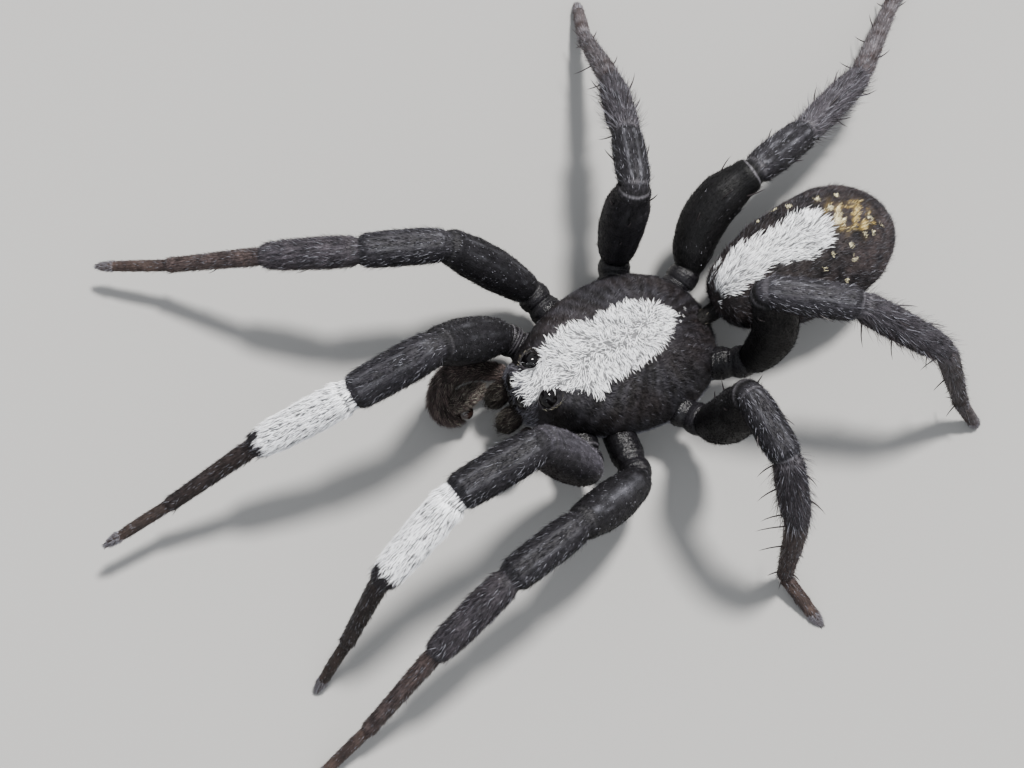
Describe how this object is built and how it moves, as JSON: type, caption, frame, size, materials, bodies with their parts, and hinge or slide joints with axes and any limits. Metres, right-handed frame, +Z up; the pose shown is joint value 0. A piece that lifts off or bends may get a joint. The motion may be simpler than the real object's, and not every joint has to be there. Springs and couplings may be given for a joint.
{
  "type": "wolf spider",
  "caption": "Life-size still model of a male wolf spider standing on its feet, black legs with white front tibiae and a white blaze along head and abdomen",
  "frame": {"origin": "bottom centre of the bounding box, on the floor it stands on", "axes": "+Z up, the head faces -Y, the spider's left side is +X; the length over the legs runs along Y and the height is the shortest extent"},
  "size_m": [0.0132, 0.0198, 0.0042],
  "materials": {
    "velvet_black": "matt short hair over dark cuticle",
    "brown_black": "dark brown cuticle with sparse hair",
    "charcoal_hair": "matt charcoal hair",
    "white_hair": "matt white flat hair",
    "eye_lens": "glossy black"
  },
  "bodies": {
    "root": {"prosoma": "velvet_black", "abdomen": "charcoal_hair", "spinnerets": "brown_black", "chelicera_left": "brown_black", "palp_left_limb": "brown_black", "palp_left_club": "brown_black", "palp_left_bulb": "brown_black", "eye_posterior_lateral_left": "eye_lens", "eye_posterior_median_left": "eye_lens", "eye_anterior_lateral_left": "eye_lens", "eye_anterior_median_left": "eye_lens", "chelicera_right": "brown_black", "palp_right_limb": "brown_black", "palp_right_club": "brown_black", "palp_right_bulb": "brown_black", "eye_posterior_lateral_right": "eye_lens", "eye_posterior_median_right": "eye_lens", "eye_anterior_lateral_right": "eye_lens", "eye_anterior_median_right": "eye_lens", "leg_left_1_femur": "velvet_black", "leg_left_1_patella": "velvet_black", "leg_left_1_tibia": "white_hair", "leg_left_1_metatarsus": "brown_black", "leg_left_1_tarsus": "brown_black", "leg_left_2_femur": "velvet_black", "leg_left_2_patella": "velvet_black", "leg_left_2_tibia": "velvet_black", "leg_left_2_metatarsus": "brown_black", "leg_left_2_tarsus": "brown_black", "leg_left_3_femur": "velvet_black", "leg_left_3_patella": "velvet_black", "leg_left_3_tibia": "velvet_black", "leg_left_3_metatarsus": "brown_black", "leg_left_3_tarsus": "brown_black", "leg_left_4_femur": "velvet_black", "leg_left_4_patella": "velvet_black", "leg_left_4_tibia": "velvet_black", "leg_left_4_metatarsus": "brown_black", "leg_left_4_tarsus": "brown_black", "leg_right_1_femur": "velvet_black", "leg_right_1_patella": "velvet_black", "leg_right_1_tibia": "white_hair", "leg_right_1_metatarsus": "brown_black", "leg_right_1_tarsus": "brown_black", "leg_right_2_femur": "velvet_black", "leg_right_2_patella": "velvet_black", "leg_right_2_tibia": "velvet_black", "leg_right_2_metatarsus": "brown_black", "leg_right_2_tarsus": "brown_black", "leg_right_3_femur": "velvet_black", "leg_right_3_patella": "velvet_black", "leg_right_3_tibia": "velvet_black", "leg_right_3_metatarsus": "brown_black", "leg_right_3_tarsus": "brown_black", "leg_right_4_femur": "velvet_black", "leg_right_4_patella": "velvet_black", "leg_right_4_tibia": "velvet_black", "leg_right_4_metatarsus": "brown_black", "leg_right_4_tarsus": "brown_black"}
  },
  "joints": []
}
